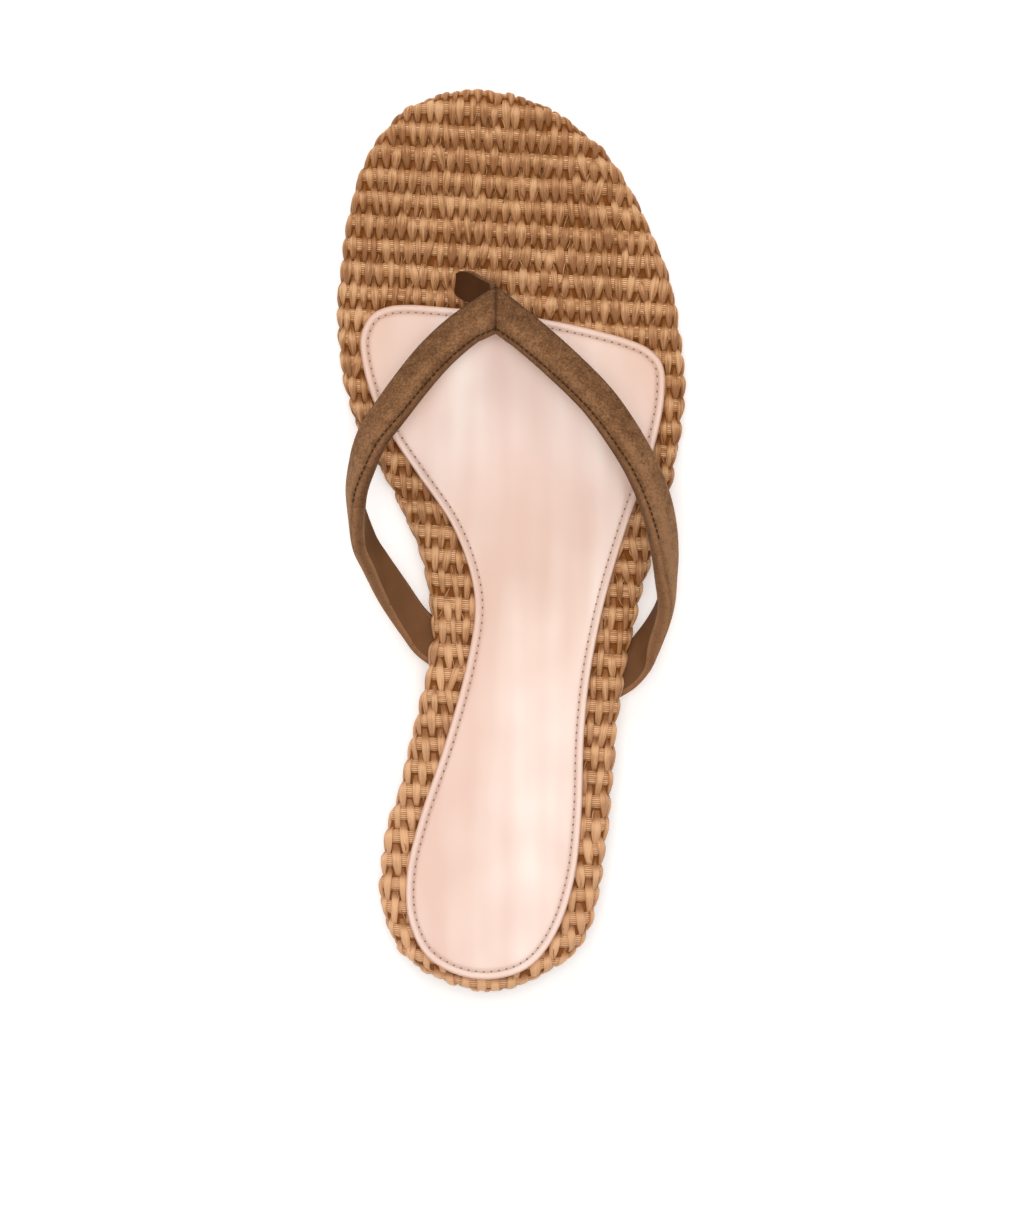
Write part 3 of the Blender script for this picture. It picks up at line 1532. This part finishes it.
    def build(self) -> list[Piece]:
        """Builds and finishes the strap and the toe post.

        Returns:
            Their pieces.
        """
        suede = Suede().material()
        lining = PlainLeather(
            "strap_lining_leather", tint(126, 86, 56), tint(104, 70, 43), roughness=0.6, shine=0.12
        ).material()
        dark = PlainLeather(
            "post_leather", tint(84, 51, 29), tint(70, 42, 23), roughness=0.85, shine=0.05
        ).material()
        thread = Thread("brown_thread", tint(80, 53, 32), tint(54, 34, 19)).material()
        post, post_face = self.post()
        pieces = [
            dress(self.cover(), suede), dress(self.lining(), lining), dress(post, suede),
            dress(post_face, dark), dress(self.stitches(), thread),
        ]
        for piece in pieces:
            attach(piece, "root")
            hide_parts("thong_strap")
        return pieces


@dataclass
class Bottom:
    """The leather outsole and the low heel lift."""

    sole: Sole
    layers: int = 4

    def outsole(self) -> Piece:
        """The outsole, with its arch and toe spring and softened corners.

        Returns:
            The finished object.
        """
        thick = self.sole.outsole_thickness
        wall = [(0.0006, 0.0), (0.00015, 0.0002), (0.0, 0.0006), (0.0, thick - 0.0004), (0.0003, thick)]
        outline = Outline(self.sole.footbed.inset(self.sole.outsole_inset))
        rings = self.sole.slab(outline, wall, self.sole.outsole_under, across=17, count=150)
        return tube_piece("outsole_leather", rings, angle=60)

    def lift(self) -> Piece:
        """The stacked lift under the heel seat, with a straight breast.

        Returns:
            The finished object.
        """
        thick = self.sole.lift_thickness
        wall = [(0.0005, 0.0), (0.0001, 0.0003)]
        for layer in range(1, self.layers):
            at = layer * thick / self.layers
            wall += [(0.0, at - 0.00012), (0.00014, at), (0.0, at + 0.00012)]
        wall += [(0.0, thick - 0.0002), (0.0002, thick)]
        outline = Outline(self.sole.footbed.inset(self.sole.lift_inset))
        rings = self.sole.slab(outline, wall, np.zeros_like, end=self.sole.heel_breast, across=17, count=70)
        breast = rings[-1:].copy()
        breast[..., 0] = 0.98 * breast[..., 0] + 0.02 * breast[..., 0].mean()
        shut = breast.copy()
        shut[..., 2] = breast[..., 2].mean()
        return tube_piece("heel_lift_leather", np.concatenate([rings, shut]), angle=40)

    def build(self) -> list[Piece]:
        """Builds and finishes both.

        Returns:
            The outsole and the lift.
        """
        tan = PlainLeather("outsole_tan_leather", tint(196, 150, 104), tint(176, 130, 86), 500, 0.45)
        stack = PlainLeather("heel_lift_stack", tint(92, 62, 40), tint(70, 46, 28), 500, 0.5)
        pieces = {
            "outsole": dress(self.outsole(), tan.material()),
            "heel_lift": dress(self.lift(), stack.material()),
        }
        for node, piece in pieces.items():
            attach(piece, "root")
            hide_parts(node)
        return list(pieces.values())


@dataclass
class Studio:
    """A plain pale floor, soft lights and the camera straight above the shoe."""

    metres_per_pixel: float = 0.000275
    focus_height: float = 0.012
    distance: float = 2.4
    frame_height: int = 1232
    floor_size: float = 12.0
    aim: tuple[float, float] = (0.000275, -0.0206)
    sensor_width: float = 36.0
    floor_tone: Colour = (0.93, 0.93, 0.93, 1.0)
    floor_glow: float = 0.32
    daylight: Colour = (1.0, 0.968, 0.936, 1.0)
    daylight_strength: float = 0.45
    # name, place, size in metres and power in watts
    lamps: tuple = (
        ("key", (-0.25, 1.30, 1.05), 1.1, 10.5),
        ("overhead", (0.0, 0.0, 2.3), 1.0, 21.0),
        ("fill", (0.6, -1.2, 1.3), 1.4, 2.0),
    )

    def floor(self) -> None:
        """The floor the shoe stands on."""
        bpy.ops.object.select_all(action="DESELECT")
        bpy.ops.mesh.primitive_plane_add(size=self.floor_size, location=(0, 0, 0))
        floor = rename(bpy.context.active_object, "floor")
        dress(floor, Recipe("studio_floor").finish(
            self.floor_tone, Roughness=0.8, Specular_IOR_Level=0.1, Emission_Color=self.floor_tone,
            Emission_Strength=self.floor_glow,
        ))

    def lamp(self, name: str, place: tuple[float, float, float], size: float, power: float) -> None:
        """Adds a square soft light that looks at the shoe.

        Args:
            name: the lamp's name.
            place: where it hangs.
            size: its side, in metres.
            power: its power, in watts.
        """
        bpy.ops.object.select_all(action="DESELECT")
        bpy.ops.object.light_add(type="AREA", location=place)
        lamp = bpy.context.active_object
        lamp.name = name
        lamp.rotation_euler = Vector(place).to_track_quat("Z", "Y").to_euler()
        lamp.data.size = size
        lamp.data.energy = power

    def camera(self) -> None:
        """Adds the camera, with the photograph's frame and scale."""
        bpy.ops.object.select_all(action="DESELECT")
        bpy.ops.object.camera_add(location=(*self.aim, self.focus_height + self.distance), rotation=(0, 0, 0))
        camera = bpy.context.active_object
        camera.name = "camera"
        camera.data.sensor_width = self.sensor_width
        camera.data.lens = self.sensor_width * self.distance / (self.metres_per_pixel * self.frame_height)
        camera.data.clip_end = 50
        bpy.context.scene.camera = camera

    def build(self) -> None:
        """Sets up the whole studio."""
        self.floor()
        for lamp in self.lamps:
            self.lamp(*lamp)
        world = bpy.data.worlds.new("soft_daylight")
        world.use_nodes = True
        background = world.node_tree.nodes["Background"]
        background.inputs["Color"].default_value = self.daylight
        background.inputs["Strength"].default_value = self.daylight_strength
        bpy.context.scene.world = world
        bpy.context.scene.view_settings.view_transform = "Standard"
        self.camera()


def main() -> None:
    """Builds the shoe and its studio, and reports each piece."""
    logging.basicConfig(level=logging.INFO, format="%(name)s: %(message)s")
    sole = Sole()
    for maker in (WovenFootbed(sole, FootbedSkin(sole)), InsolePad(sole), ThongStrap(sole), Bottom(sole)):
        for piece in maker.build():
            corners = np.array([tuple(corner) for corner in piece.bound_box])
            low, high = np.round(corners.min(axis=0) / MM, 1), np.round(corners.max(axis=0) / MM, 1)
            log.info("%s: %d faces, from %s to %s mm", piece.name, len(piece.data.polygons), low, high)
    Studio().build()


if __name__ == "__main__":
    main()
